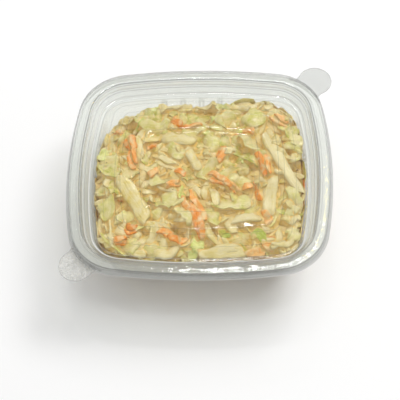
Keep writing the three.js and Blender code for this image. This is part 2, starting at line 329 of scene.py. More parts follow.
def salad_top(x, y):
    """Height of the salad's surface."""
    across = np.sin(x / RIPPLE_REACH[0] + RIPPLE_START[0])
    top = SALAD_LEVEL + RIPPLE_RISE * across * np.cos(y / RIPPLE_REACH[1] + RIPPLE_START[1])
    for cx, cy, rise, reach in SALAD_SWELLS:
        top = top + rise * np.exp(-((x - cx) ** 2 + (y - cy) ** 2) / (2 * reach * reach))
    return top


def tray_inset(height):
    """Inset of the tray's inner face at a height, from the edge of its floor to the top of its wall."""
    face = np.array(TRAY_SECTION[1:7])
    return np.interp(height, face[:, 1], face[:, 0])


def outside(points, inset):
    """How far plan points reach, as a share of the way to the outline at an inset."""
    wall = outline(inset, 4, 5)
    edge = np.roll(wall, -1, axis=0) - wall
    normal = unit(np.column_stack([edge[:, 1], -edge[:, 0]]))
    return (points @ normal.T / (normal * wall).sum(1)).max(1)


def inside(points, height, gap):
    """Plan points pulled in until they clear the tray wall at this height by a gap."""
    over = outside(points, float(tray_inset(height)) + gap)
    return points / np.maximum(over, 1)[:, None]


def off_wall(points):
    """Points pulled in off the tray's wall, one thin layer after the other."""
    layer, gap = 1.5, 0.2
    for low in np.arange(0, WALL_TOP, layer):
        held = (points[:, 2] >= low) & (points[:, 2] < low + layer)
        points[held, :2] = inside(points[held, :2], low, gap)
    return points


class Bed:
    """The heap's surface as a grid of heights that rises as pieces settle on it."""

    STEP = 0.5
    HALF = (58.0, 54.0)
    LID_GAP, GOAL_GAP = 0.4, 0.6
    NEARLY_FULL = 0.3

    def __init__(self, depth):
        """A heap that still lacks some depth all over."""
        xs = np.arange(-self.HALF[0], self.HALF[0] + self.STEP, self.STEP)
        ys = np.arange(-self.HALF[1], self.HALF[1] + self.STEP, self.STEP)
        self.x, self.y = np.meshgrid(xs, ys, indexing="ij")
        self.inset = self.insets()
        self.roof = self.headroom() - self.LID_GAP
        self.goal = np.minimum(salad_top(self.x, self.y), self.roof - self.GOAL_GAP)
        self.height = self.goal - depth
        self.field = self.inset > WALL_BAND

    def insets(self):
        """How far each cell lies inside the rim outline, in whole millimetres."""
        points = np.column_stack([self.x.ravel(), self.y.ravel()])
        inset = np.zeros(len(points))
        for ring in range(1, 60):
            inset[outside(points, ring) <= 1] = ring
        return inset.reshape(self.x.shape)

    def headroom(self):
        """Height of the lid's inner face over each cell."""
        lid = np.array(LID_SECTION)[:8]
        return np.interp(self.inset, lid[::-1, 0], lid[::-1, 1] - LID_SHEET)

    def cell(self, points):
        """The grid cell under each plan point."""
        found = np.round((points + self.HALF) / self.STEP).astype(int)
        return (
            np.clip(found[..., 0], 0, self.height.shape[0] - 1),
            np.clip(found[..., 1], 0, self.height.shape[1] - 1),
        )

    def at(self, points):
        """Height of the heap at plan points."""
        return self.height[self.cell(points)]

    def short(self, points):
        """How far the heap is below its full height."""
        cell = self.cell(points)
        return self.goal[cell] - self.height[cell]

    def filled(self):
        """Whether the heap stands at its full height on average."""
        return self.height[self.field].mean() > self.goal[self.field].mean() - self.NEARLY_FULL

    def settle(self, path, width, thick, sink):
        """Heights of a limp piece laid along a path, which then becomes part of the bed."""
        rests_at, covers = (-0.7, 0, 0.7), 0.9
        finer, limpness = 4, 4
        across = unit(np.gradient(path, axis=0))[:, ::-1] * (-1, 1) * width / 2
        under = np.max([self.at(path + across * side) for side in rests_at], axis=0) - sink
        height = under.copy()
        for _ in range(limpness):
            held = np.pad(height, 1, mode="reflect", reflect_type="odd")
            height = np.maximum(under, (held[:-2] + 2 * height + held[2:]) / 4)
        height = np.minimum(height + thick / 2, self.roof[self.cell(path)] - thick / 2)
        fine = np.linspace(0, len(path) - 1, len(path) * finer)
        rows = np.arange(len(path))
        dense = np.column_stack([np.interp(fine, rows, path[:, k]) for k in (0, 1)])
        over = np.column_stack([np.interp(fine, rows, across[:, k]) for k in (0, 1)])
        level = np.interp(fine, rows, height) + thick / 2
        for side in np.linspace(-covers, covers, max(3, int(width / self.STEP))):
            cell = self.cell(dense + over * side)
            np.maximum.at(self.height, cell, level)
        return height


# Directions of the waves that rumple the salad, each with the way it pushes.
RUMPLES = [(unit(rng.normal(size=3)), unit(rng.normal(size=3))) for _ in range(5)]


class Strips:
    """Cut pieces of one kind, gathered into one mesh."""

    SECTION, SQUARENESS = 12, 0.6
    BLUNT_ENDS, END_CURVE = (0.3, 0.75), 5
    EDGE_KNOTS, END_SLANT = 5, 0.4
    # Waves that rumple the salad, as wavelength and push in millimetres.
    WAVES = ((9.0, 0.35), (5.0, 0.36), (3.2, 0.24))

    def __init__(self):
        self.points, self.faces, self.tint, self.grain = [], [], [], []
        self.count = 0

    def add(self, middle, side, normal, width, thick, ragged, tint, cup=0.0, crown=0.0, wave=0.0):
        """One piece along a middle line, its width along side and its thickness along normal."""
        steps, size = len(middle), self.SECTION
        angle = (np.arange(size) + 0.5) * 2 * math.pi / size
        flat = np.sign(np.cos(angle)) * np.abs(np.cos(angle)) ** self.SQUARENESS
        tall = np.sign(np.sin(angle)) * np.abs(np.sin(angle)) ** self.SQUARENESS
        share = np.linspace(-1, 1, steps)
        half = (share > 0).astype(int)
        blunt = rng.uniform(*self.BLUNT_ENDS, 2)[half]
        ends = np.sqrt(1 - np.abs(share) ** self.END_CURVE) * (1 - blunt) + blunt
        knots = np.linspace(-1, 1, self.EDGE_KNOTS)
        cuts = [
            np.interp(share, knots, rng.uniform(1 - ragged, 1 + ragged, self.EDGE_KNOTS))
            for _ in (0, 1)
        ]
        edge = np.where(flat > 0, cuts[0][:, None], cuts[1][:, None])
        wide = width / 2 * ends[:, None] * edge * flat
        high = (thick / 2 * ends)[:, None] * tall + cup * (flat**2 - 0.5)
        high = high + crown * (1 - flat**2) * (tall > 0)
        high = high + wave * flat * np.sin(share * 5 + 12 * tint)[:, None]
        slant = (rng.normal(0, self.END_SLANT, 2)[half] * np.abs(share) ** 4)[:, None] * wide
        forward = unit(np.gradient(middle, axis=0))
        ring = (
            middle[:, None, :]
            + wide[:, :, None] * side[:, None, :]
            + high[:, :, None] * normal[:, None, :]
            + slant[:, :, None] * forward[:, None, :]
        )
        self.faces += joined(steps, size, self.count)
        length = np.linalg.norm(middle[-1] - middle[0]) / 2
        along = np.repeat(share * length, size) + 40 * tint
        across = (width / 2 * np.tile(flat, steps)) + 90 * rng.uniform()
        self.points.append(ring.reshape(-1, 3))
        self.tint += [tint] * (steps * size)
        self.grain += np.column_stack([along, across]).tolist()
        self.count += steps * size

    def rumpled(self, points):
        """Points shifted a little by soft waves that run through the heap, so no edge is straight."""
        shift = np.zeros_like(points)
        for wavelength, amount in self.WAVES:
            for direction, sway in RUMPLES:
                phase = points @ direction * (2 * math.pi / wavelength)
                shift += amount / len(RUMPLES) ** 0.5 * np.sin(phase + 7 * wavelength)[:, None] * sway
        return points + shift

    def held(self, bed):
        """All the points, kept under the lid and off the tray's wall and floor."""
        lowest, lid_gap = 1.0, 0.1
        points = self.rumpled(np.vstack(self.points))
        points[:, 2] = np.clip(points[:, 2], lowest, bed.roof[bed.cell(points[:, :2])] - lid_gap)
        return off_wall(points)

    def made(self, name, material, bed, around):
        """The pieces as one mesh. Each point knows how deep it lies below the surface around it, which
        sets the painted shade of its crevice.
        """
        full_depth, at_surface = 2.2, 0.25
        points = self.held(bed)
        below = around[bed.cell(points[:, :2])] - points[:, 2]
        deep = np.clip(below / full_depth + at_surface, 0, 1)
        return piece(
            name, points, self.faces, material, self.grain,
            sharp=CUT_EDGE_DEGREES, tint=self.tint, deep=deep,
        )


def bent_path(at, heading, length, bend, steps, sway):
    """Plan points of a curved piece about its middle."""
    share = np.linspace(-0.5, 0.5, steps)
    course = heading + bend * share * 2 + sway * np.sin(share * 9)
    step = length / (steps - 1)
    walk = np.cumsum(np.column_stack([np.cos(course), np.sin(course)]) * step, axis=0)
    return walk - walk.mean(0) + at


def lay(bed, kind, at, heading, length, width, thick, bend, tint, sway=0.0, sink=0.5, steps=11):
    """Lays one piece of a kind on the bed."""
    highest, wall_gap = 31.0, 0.7
    path = bent_path(np.asarray(at, float), heading, length, bend, steps, sway)
    level = float(salad_top(*path.mean(0)))
    path = inside(path, min(level, highest), wall_gap + width / 2)
    height = bed.settle(path, width, thick, sink)
    middle = np.column_stack([path, height])
    forward = unit(np.gradient(middle, axis=0))
    level_side = unit(np.cross((0, 0, 1), forward))
    upward = np.cross(forward, level_side)
    twist = kind["roll"] * (rng.normal() + rng.normal(0, 1.0) * np.linspace(-1, 1, steps))
    c, s = np.cos(twist)[:, None], np.sin(twist)[:, None]
    kind["strips"].add(
        middle, c * level_side + s * upward, c * upward - s * level_side, width, thick,
        cup=rng.uniform(-0.5, 0.8) * kind["cup"], crown=kind["crown"] * thick,
        ragged=kind["ragged"], wave=kind["wave"], tint=tint,
    )


def low_spot(bed, field, tries, luck=0.0):
    """The lowest of a few random spots, give or take some luck, or none if the heap is too full there."""
    spots = inside(rng.uniform(-field, field, (tries, 2)), SPOT_HEIGHT, SPOT_GAP)
    short = bed.short(spots)
    if luck:
        short = short + rng.uniform(0, luck, tries)
    spot = spots[np.argmax(short)]
    return None if bed.short(spot) < TOO_FULL else spot


def fill(bed, kinds, total):
    """Scatters pieces where the heap is lowest until it is full."""
    weights = np.array([kind["share"] for kind in kinds], float)
    weights /= weights.sum()
    for _ in range(total):
        if bed.filled():
            break
        spot = low_spot(bed, FILL_FIELD, 8, luck=1.2)
        if spot is None:
            continue
        kind = kinds[rng.choice(len(kinds), p=weights)]
        lay(
            bed, kind, spot, rng.uniform(0, math.pi),
            length=rng.uniform(*kind["length"]),
            width=rng.uniform(*kind["width"]),
            thick=rng.uniform(*kind["thick"]),
            bend=rng.normal(0, 0.5),
            sway=rng.normal(0, 0.2),
            tint=rng.uniform(0, 1),
        )


class Wall:
    """The tray's inner face, as steps round it, about a millimetre each, and heights up it."""

    LEVELS = np.array([1.4, 3.2, 7.5, 10.5, 15.0, 20.0, 25.0, 29.0])
    SIDE_STEPS, CORNER_STEPS, STEP = 60, 20, 1.05
    LOWEST = 2.0

    def __init__(self, gap):
        """The face, held off by a gap."""
        self.rows = []
        for level in self.LEVELS:
            ring = outline(float(tray_inset(level)) + gap, self.SIDE_STEPS, self.CORNER_STEPS)
            self.rows.append(np.column_stack([ring, np.full(len(ring), level)]))
        self.rows = np.array(self.rows)
        self.size = self.rows.shape[1]

    def at(self, around, height):
        """Points on the face."""
        last = len(self.LEVELS) - 1
        row = np.clip(np.interp(height, self.LEVELS, np.arange(last + 1)), 0, last - 0.001)
        low, column = row.astype(int), np.floor(around).astype(int)
        u, v = (around - column)[:, None], (row - low)[:, None]
        a, b = column % self.size, (column + 1) % self.size
        lower = self.rows[low, a] * (1 - u) + self.rows[low, b] * u
        upper = self.rows[low + 1, a] * (1 - u) + self.rows[low + 1, b] * u
        return lower * (1 - v) + upper * v

    def press(self, kind, around, height, heading, length, width, thick, tint, steps=11):
        """Presses one piece flat against the face."""
        curl, near = 0.06, 0.7
        share = np.linspace(-0.5, 0.5, steps) * length
        run = around + share * math.cos(heading) / self.STEP
        climb = height + share * math.sin(heading) + curl * rng.normal() * share**2 / 4
        at = self.at(run, climb)
        highest = np.minimum(salad_top(at[:, 0], at[:, 1]) - width / 2, self.LEVELS[-1])
        climb = np.clip(climb, self.LOWEST, highest)
        middle = self.at(run, climb)
        level = self.at(run + near, climb) - self.at(run - near, climb)
        rise = self.at(run, climb + near) - self.at(run, climb - near)
        outward = unit(np.cross(level, rise))
        forward = unit(np.gradient(middle, axis=0))
        side = unit(np.cross(outward, forward))
        kind["strips"].add(
            middle - outward * thick / 2, side, outward, width, thick,
            ragged=kind["ragged"], tint=tint,
        )


# -------------------- materials


def colour(code):
    """Linear colour from an sRGB hex code."""
    parts = [int(code[i:i + 2], 16) / 255 for i in (1, 3, 5)]
    return [p / 12.92 if p <= 0.04045 else ((p + 0.055) / 1.055) ** 2.4 for p in parts] + [1.0]


def add(tree, kind, links=None, **settings):
    """A shader node with its settings. An input is given a value, an output, or a node for its first."""
    node = tree.nodes.new("ShaderNode" + kind)
    for key, value in settings.items():
        setattr(node, key, value)
    for socket, value in (links or {}).items():
        if isinstance(value, bpy.types.Node):
            value = value.outputs[0]
        if isinstance(value, bpy.types.NodeSocket):
            tree.links.new(value, node.inputs[socket])
        else:
            node.inputs[socket].default_value = value
    return node


def material(name):
    """An empty node material and its tree."""
    made = bpy.data.materials.new(name)
    made.use_nodes = True
    made.node_tree.nodes.clear()
    return made, made.node_tree


def ramp(tree, factor, stops):
    """Colours along a factor."""
    node = add(tree, "ValToRGB", {"Fac": factor})
    band = node.color_ramp
    while len(band.elements) < len(stops):
        band.elements.new(0.5)
    for element, (place, code) in zip(band.elements, stops):
        element.position = place
        element.color = colour(code)
    return node


def clear_pet(name, roughness, haze, wave_mm, wave, clear="#FDFEFD", edge="#6F706F", root=None,
              grit=0.0):
    """Thin thermoformed PET: water-clear face on, and grey where it turns edge on. That grey is partly the
    light the sheet lets through less at a slant and partly painted shade. It has painted thin bright and
    dark lines where each tight fold would bend the light: a painted highlight in a valley and painted
    shade on a ridge. It is glossy, with the soft waviness that the heated sheet keeps, and milkier at the
    rim, which is stretched least. A tab is clearest at its root, given as a centre and two reaches, and
    grit makes one patchy."""
    ripple_mm = 2.6
    made, tree = material(name)
    place = add(tree, "TexCoord").outputs["Object"]
    rim = add(tree, "Attribute", attribute_name="rim").outputs["Fac"]
    waves = add(tree, "TexNoise", {"Vector": place, "Scale": 1000 / wave_mm, "Detail": 1.0})
    ripple = add(tree, "TexNoise", {"Vector": place, "Scale": 1000 / ripple_mm, "Detail": 1.0})
    ripple = add(tree, "Math", {0: ripple, 1: rim}, operation="MULTIPLY")
    relief = add(tree, "Math", {0: ripple, 1: waves}, operation="ADD")
    bump = add(tree, "Bump", {"Height": relief, "Strength": wave, "Distance": 0.4 * MM})
    facing = add(tree, "LayerWeight", {"Blend": 0.5, "Normal": bump}).outputs["Facing"]
    # Greyer edge on: partly the light a slanted sheet lets through less, partly painted shade.
    tone = ramp(tree, facing, ((0.0, clear), (0.6, clear), (1.0, edge)))
    fold = add(tree, "Attribute", attribute_name="fold").outputs["Fac"]
    # Painted lines at the folds: on a ridge the clear tone greys towards a dark line (painted shade), and
    # in a valley extra milk makes a bright line (painted highlight).
    ridge = add(tree, "Math", {0: fold, 1: 0.0}, operation="MAXIMUM")
    valley = add(tree, "Math", {0: fold, 1: -0.6}, operation="MULTIPLY", use_clamp=True)
    line = colour("#8F908F")
    tone = add(tree, "Mix", {0: ridge, 6: tone, 7: line}, data_type="RGBA").outputs[2]
    milky = add(tree, "Math", {0: rim, 1: RIM_HAZE, 2: haze}, operation="MULTIPLY_ADD")
    # The valley's painted bright line, added as extra milk.
    milky = add(tree, "Math", {0: milky, 1: valley}, operation="ADD")
    if root:
        centre, clear_to, grey_from = root
        away = add(tree, "VectorMath", {0: place, 1: centre}, operation="DISTANCE")
        grown = add(tree, "MapRange", {
            "Value": away.outputs["Value"], "From Min": clear_to, "From Max": grey_from,
        })
        clearest = colour("#FEFEFE")
        tone = add(tree, "Mix", {0: grown, 6: clearest, 7: tone}, data_type="RGBA").outputs[2]
        milky = add(tree, "Math", {0: grown, 1: haze}, operation="MULTIPLY")
    if grit:
        pits = add(tree, "Math", {0: waves, 1: 0.5}, operation="SUBTRACT")
        milky = add(tree, "Math", {0: pits, 1: grit, 2: milky}, operation="MULTIPLY_ADD")
    through = add(tree, "BsdfTransparent", {"Color": tone})
    shine = add(tree, "BsdfGlossy", {"Roughness": roughness, "Normal": bump})
    steep = add(tree, "Math", {0: facing, 1: 5.0}, operation="POWER")
    smooth = add(tree, "MapRange", {"Value": steep, "To Min": 0.03})
    mirror = add(tree, "Math", {0: ridge, 1: 0.3, 2: smooth}, operation="MULTIPLY_ADD")
    mirror = add(tree, "Math", {0: valley, 1: 0.8, 2: mirror}, operation="MULTIPLY_ADD")
    sheet_look = add(tree, "MixShader", {0: mirror, 1: through, 2: shine})
    milk = add(tree, "BsdfPrincipled", {"Base Color": colour("#F0F0EC"), "Roughness": 0.5})
    mix = add(tree, "MixShader", {0: milky, 1: sheet_look, 2: milk})
    add(tree, "OutputMaterial", {"Surface": mix})
    return made


def cut_food(name, stops, cream_share, fibre=0.8, glow_mm=0.8, lumpy=0.4):
    """Raw cut vegetable under creamy dressing: a moist flesh that lets light in, with fine fibres along
    each piece and a shade of its own, and a film of dressing that gathers in soft pale patches. Deep
    between the pieces it is painted darker and a warmer yellow: painted shade in the crevices. The fibres
    are drawn nearly a millimetre wide and about 11 long, coarser than real ones, so that they show."""
    fibres_per_mm = (0.09, 1.1, 1.0)
    mottle_mm, patch_mm, bead_mm = 4.0, 3.5, 1.3
    film_from, film_full, film_most = 0.66, 0.92, 0.85
    # The cream of the dressing, and the warm colour of the painted crevice shade.
    cream, crevice_shade_colour = colour("#DBCB9C"), colour("#EAC04E")
    made, tree = material(name)
    place = add(tree, "TexCoord").outputs["Object"]
    grain = add(tree, "UVMap", uv_map="grain")
    tint = add(tree, "Attribute", attribute_name="tint").outputs["Fac"]
    deep = add(tree, "Attribute", attribute_name="deep").outputs["Fac"]
    drawn = add(tree, "Mapping", {"Vector": grain, "Scale": fibres_per_mm})
    fibres = add(tree, "TexNoise", {"Vector": drawn, "Scale": 1.0, "Detail": 4.0, "Roughness": 0.6})
    mottle = add(tree, "TexNoise", {
        "Vector": place, "Scale": 1000 / mottle_mm, "Detail": 5.0, "Roughness": 0.65,
    })
    mixed = add(tree, "Math", {0: fibres, 1: mottle}, operation="ADD")
    shifted = add(tree, "Math", {0: mixed, 1: 1.0}, operation="SUBTRACT")
    factor = add(tree, "Math", {0: shifted, 1: 1.9, 2: tint}, operation="MULTIPLY_ADD")
    flesh = ramp(tree, factor, stops)
    patches = add(tree, "TexNoise", {
        "Vector": place, "Scale": 1000 / patch_mm, "Detail": 4.0, "Roughness": 0.55,
    })
    film = add(tree, "MapRange", {
        "Value": patches, "From Min": film_from - cream_share,
        "From Max": film_full - cream_share, "To Max": film_most,
    })
    coated = add(tree, "Mix", {0: film, 6: flesh, 7: cream}, data_type="RGBA").outputs[2]
    # Painted shade: darker and warmer yellow the deeper a point lies between the pieces.
    crevice_shade = add(tree, "Math", {0: deep, 1: 0.55}, operation="MULTIPLY")
    skin = add(tree, "Mix", {
        0: crevice_shade, 6: coated, 7: crevice_shade_colour,
    }, data_type="RGBA", blend_type="MULTIPLY").outputs[2]
    relief = add(tree, "Bump", {"Height": fibres, "Strength": fibre, "Distance": 0.5 * MM})
    lumps = add(tree, "Bump", {
        "Height": patches, "Strength": lumpy, "Distance": 0.6 * MM, "Normal": relief,
    })
    beads = add(tree, "TexNoise", {"Vector": place, "Scale": 1000 / bead_mm, "Detail": 2.0})
    wet_skin = add(tree, "Bump", {
        "Height": beads, "Strength": 0.6, "Distance": 0.35 * MM, "Normal": lumps,
    })
    shader = add(tree, "BsdfPrincipled", {
        "Base Color": skin, "Roughness": 0.42, "IOR": 1.38, "Specular IOR Level": 0.3,
        "Specular Tint": colour("#FFF6DC"),
        "Subsurface Weight": 0.5, "Subsurface Radius": (1.0, 0.95, 0.85),
        "Subsurface Scale": glow_mm * MM, "Normal": lumps,
        "Coat Weight": 0.7, "Coat Roughness": 0.08, "Coat IOR": 1.4, "Coat Normal": wet_skin,
    }, subsurface_method="BURLEY")
    add(tree, "OutputMaterial", {"Surface": shader})
    return made


# The lid's sheet is the clearest. The tray's is drawn deeper and thinner: hazier, less grey edge on.
lid_pet = clear_pet("clear_pet_lid", roughness=0.04, haze=0.012, wave_mm=9.0, wave=0.25)
tray_pet = clear_pet("clear_pet_tray", roughness=0.06, haze=0.06, wave_mm=7.0, wave=0.3, edge="#D2D3D1")
# The tray's tab is pebbled for grip, so it looks frosted. The lid's tab is plain and a little grey.
grip_pet = clear_pet(
    "frosted_pet_grip", roughness=0.22, haze=0.22, wave_mm=1.5, wave=0.9, clear="#F8F8F7", grit=0.7,
)
tab_pet = clear_pet(
    "clear_pet_tab", roughness=0.08, haze=0.12, wave_mm=6.0, wave=0.3, clear="#EEEFEE",
    root=(
        tuple(side * MM for side in (*CORNER_CENTRE, TAB_HEIGHT)),
        (CORNER_RADIUS - 0.2) * MM, (CORNER_RADIUS + 0.8) * MM,
    ),
)
# Shreds and ribs are straw-white, leaf pieces yellower and lumpier, outer leaf edges green, and carrots
# orange where no cream lies on them. The dressing has no fibres and glows deeper.
cabbage_flesh = cut_food("white_cabbage", (
    (0.0, "#DCCC9C"), (0.35, "#D7C382"), (0.65, "#D0B96A"), (0.9, "#CBB058"), (1.0, "#BFA246"),
), cream_share=0.27)
leaf_flesh = cut_food("cabbage_leaf", (
    (0.0, "#D6CB8E"), (0.4, "#CDC270"), (0.75, "#C2BA5C"), (1.0, "#AAA842"),
), cream_share=0.26, lumpy=0.7)
green_flesh = cut_food("green_cabbage_edge", (
    (0.0, "#DEDB94"), (0.5, "#CACB70"), (1.0, "#ACB44A"),
), cream_share=0.14)
carrot_flesh = cut_food("carrot", (
    (0.0, "#EAB874"), (0.5, "#E69A42"), (1.0, "#E08422"),
), cream_share=0.22)
dressing = cut_food("creamy_dressing", (
    (0.0, "#EAD496"), (0.5, "#E2C476"), (1.0, "#D7B45A"),
), cream_share=0.2, fibre=0.0, glow_mm=1.5, lumpy=0.9)

# -------------------- the tub

lid = sheet("clear_lid", LID_SECTION, LID_SHEET, lid_pet, side_steps=24, corner_steps=14, crisp=1.0)
tray = sheet("clear_tray", TRAY_SECTION, TRAY_SHEET, tray_pet, side_steps=80, corner_steps=14, crisp=0.2)
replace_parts(lid, "lid")
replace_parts(tray, "tray")
for name, spec, pet, node in (
    ("lid_pull_tab", LID_TAB, tab_pet, "lid"),
    ("tray_pull_tab", TRAY_TAB, grip_pet, "tray"),
):
    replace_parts(tab(name, spec, pet), node)

# -------------------- the coleslaw

bed = Bed(depth=6.0)
cabbage, ribs, leaves, greens, carrots = KINDS = [Strips() for _ in range(5)]


def kind(strips, share, length, width, thick, roll=0.3, cup=0.3, crown=0.0, ragged=0.15, wave=0.0):
    """How one kind of cut piece varies, in millimetres."""
    return dict(
        strips=strips, share=share, length=length, width=width, thick=thick,
        roll=roll, cup=cup, crown=crown, ragged=ragged, wave=wave,
    )


SHRED = kind(cabbage, 38, (12, 28), (2.8, 5.2), (0.8, 1.6), wave=0.3)
RIB = kind(ribs, 13, (10, 26), (4.5, 7.5), (1.5, 2.5), roll=0.2, crown=0.2)
CHOP = kind(ribs, 13, (5, 11), (3, 6), (1.0, 1.9), roll=0.4, ragged=0.25, wave=0.3)
FIBRE = kind(cabbage, 7, (5, 15), (0.9, 1.8), (0.5, 0.9), roll=0.6)
LEAF = kind(leaves, 20, (9, 19), (7, 12), (0.7, 1.1), roll=0.25, cup=1.2, crown=0.3, ragged=0.3, wave=0.8)
GREEN = kind(greens, 5, (5, 12), (2, 4.5), (0.5, 0.9), ragged=0.25, wave=0.4)
CARROT = kind(carrots, 9, (6, 18), (2, 4.2), (1.2, 2.0), ragged=0.2)
fill(bed, (SHRED, RIB, CHOP, FIBRE, LEAF, GREEN, CARROT), total=1000)


def sprinkle(total, odds):
    """Drops small bits into the heap's low places. The odds are those of fibre, chop, shred and leaf."""
    shorter, narrower = 0.75, 0.8
    for _ in range(total):
        spot = low_spot(bed, SPRINKLE_FIELD, 5)
        if spot is None:
            continue
        bit = (FIBRE, CHOP, SHRED, LEAF)[rng.choice(4, p=odds)]
        lay(
            bed, bit, spot, rng.uniform(0, math.pi),
            length=shorter * rng.uniform(*bit["length"]),
            width=narrower * rng.uniform(*bit["width"]),
            thick=rng.uniform(*bit["thick"]),
            bend=rng.normal(0, 0.6),
            tint=rng.uniform(0, 0.8),
        )


sprinkle(total=240, odds=(0.2, 0.2, 0.35, 0.25))

# The larger pieces on top, in the order they are laid: middle in plan, heading in degrees, length,
# width and shade.
ON_TOP = (
    (LEAF, (
        (-48, 4, -39, 14, 10, 0.6), (27, 20, -44, 13, 10, 0.1), (21, -3, -21, 11, 8, 0.1),
        (-14, -17, -21, 11, 9, 0.2), (8, 19, -31, 15, 10, 0.4), (-21, -4, 18, 11, 8, 0.2),
        (17, -18, 0, 19, 9, 0.4), (-6, -27, -48, 10, 8, 0.2), (-48, -20, -91, 13, 8, 0.4),
        (29, 35, 26, 12, 9, 0.5), (-24, 32, 10, 15, 9, 0.3), (5, 2, 50, 13, 9, 0.3),
    )),
    (RIB, (
        (43, 7, -63, 41, 6.1, 0.0), (-34, -15, -60, 30, 8.2, 0.45), (-12, 22, -4, 19, 6.6, 0.3),
        (37, -13, -97, 21, 7.2, 0.05), (11, -46, 16, 23, 5, 0.1), (14, -49, 14, 21, 4.4, 0.4),
        (-17, -47, 32, 17, 5.5, 0.2), (25, -27, 11, 15, 4.4, 0.0), (-3, 8, -66, 14, 5, 0.15),
    )),
    (SHRED, ((-33, 18, -74, 16, 3.9, 0.3), (-17, 9, -31, 10, 3.3, 0.2))),
    (RIB, ((8, -15, -77, 12, 4.4, 0.2),)),
    (GREEN, (
        (-32, 34, 46, 8, 3.9, 0.7), (20, 30, -68, 7, 3.3, 0.6), (22, 8, -56, 4, 2.8, 0.6),
        (3, 26, 24, 5, 3.3, 0.3), (-1, -42, -8, 8, 5, 0.4), (-3, -47, 37, 6, 5, 0.3),
        (13, -35, -64, 7, 3.9, 0.9), (31, -36, -26, 8, 5.5, 0.9), (-24, 46, -9, 9, 4.4, 0.1),
        (8, 35, 5, 8, 3.3, 0.4), (-53, 15, 59, 8, 5, 0.2), (-9, -12, -94, 10, 2.8, 0.6),
    )),
    (CARROT, (
        (-37, 19, -77, 13, 5.5, 0.6), (-35, 9, -76, 12, 5, 0.6), (-13, 36, -47, 8, 3.3, 0.8),
        (-4, 31, 4, 10, 1.9, 0.6), (26, 27, -32, 6, 2.8, 0.5), (11, 12, -109, 11, 4.4, 0.5),
        (34, 6, -76, 17, 5, 0.6), (12, -5, -32, 13, 4.4, 0.6), (18, -9, -31, 8, 3.9, 0.6),
        (25, -8, 34, 5, 2.8, 0.4), (-15, -8, 4, 9, 3.9, 0.6), (-10, 1, -43, 7, 2.8, 0.7),
        (-3, -21, -72, 18, 7.2, 0.6), (0, -33, -73, 17, 5, 0.95), (-34, -33, -10, 8, 4.2, 0.8),
        (-39, -40, 10, 8, 4.2, 0.7), (-16, -36, -28, 11, 3.5, 0.5), (-11, -39, -7, 10, 3.5, 0.7),
        (35, -42, -14, 6, 3.5, 0.5), (28, -47, 12, 9, 3.9, 0.2), (-26, 18, 20, 6, 2.4, 0.8),
        (-45, 30, -59, 8, 3.3, 0.4), (35, -25, -72, 7, 3.3, 0.4), (30, -11, -75, 8, 3, 0.7),
        (43, 35, -24, 11, 5, 0.2), (-24, 0, 37, 6, 3, 0.3),
    )),
    (CHOP, ((-9, 48, 30, 8, 5, 0.8), (5, 46, -20, 9, 5, 0.9))),
    (LEAF, ((12, 46, 30, 9, 7, 0.9),)),
    (SHRED, ((-17, 48, 8, 13, 3, 0.4), (3, 49, -15, 12, 3, 0.6))),
    (CHOP, ((-22, 47, -40, 7, 5, 0.5),)),
)


def place_on_top(kind, x, y, degrees, length, width, shade):
    """Lays one of the larger pieces. A broad carrot piece is a bunch of thin shreds side by side."""
    strands = max(1, round(width / CARROT_STRAND)) if kind is CARROT else 1
    broad = 1.4 * width / strands if kind is CARROT else width
    bunch = strands > 1
    heading = math.radians(degrees)
    for strand in range(strands):
        aside = (strand - (strands - 1) / 2) * width / strands + bunch * rng.normal(0, 0.3)
        along = bunch * rng.normal(0, 0.1) * length
        at = (
            x - aside * math.sin(heading) + along * math.cos(heading),
            y + aside * math.cos(heading) + along * math.sin(heading),
        )
        lay(
            bed, kind, at, heading + bunch * rng.normal(0, 0.12),
            length=length * (1 - bunch * rng.uniform(0, 0.3)),
            width=broad,
            thick=np.mean(kind["thick"]),
            bend=rng.normal(0, 0.25),
            tint=shade + bunch * rng.uniform(-0.3, 0.2),
            sink=0.3,
        )


for of_kind, places in ON_TOP:
    for place in places:
        place_on_top(of_kind, *place)
sprinkle(total=60, odds=(0.5, 0.3, 0.2, 0))

# Rows of pieces pressed to the wall, and the odds of each kind there.
WALL_ROWS, PER_ROW, LOWEST_ROW, ROW_PITCH = 4, 66, 4.5, 7
AT_WALL = (SHRED, SHRED, LEAF, RIB, CHOP, SHRED, CARROT, GREEN)
AT_WALL_ODDS = (0.2, 0.2, 0.2, 0.14, 0.1, 0.06, 0.06, 0.04)
wall = Wall(gap=0.25)
for row, step in np.ndindex(WALL_ROWS, PER_ROW):
    pressed = AT_WALL[rng.choice(len(AT_WALL), p=AT_WALL_ODDS)]
    wall.press(
        pressed,
        around=(step + rng.uniform(-0.4, 0.4)) * wall.size / PER_ROW,
        height=LOWEST_ROW + ROW_PITCH * row + rng.uniform(-3, 3),
        heading=rng.normal(0, 0.8),
        length=rng.uniform(*pressed["length"]),
        width=rng.uniform(*pressed["width"]),
        thick=0.7 * rng.uniform(*pressed["thick"]),
        tint=rng.uniform(),
    )


def blurred(field, radius, rounds=3):
    """A grid of heights smoothed by repeated box averages."""
    for _ in range(rounds):
        for axis in (0, 1):
            pad = [(radius + 1, radius) if k == axis else (0, 0) for k in (0, 1)]
            run = np.cumsum(np.pad(field, pad, mode="edge"), axis=axis)
            ahead = np.take(run, range(2 * radius + 1, run.shape[axis]), axis=axis)
            back = np.take(run, range(run.shape[axis] - 2 * radius - 1), axis=axis)
            field = (ahead - back) / (2 * radius + 1)
    return field


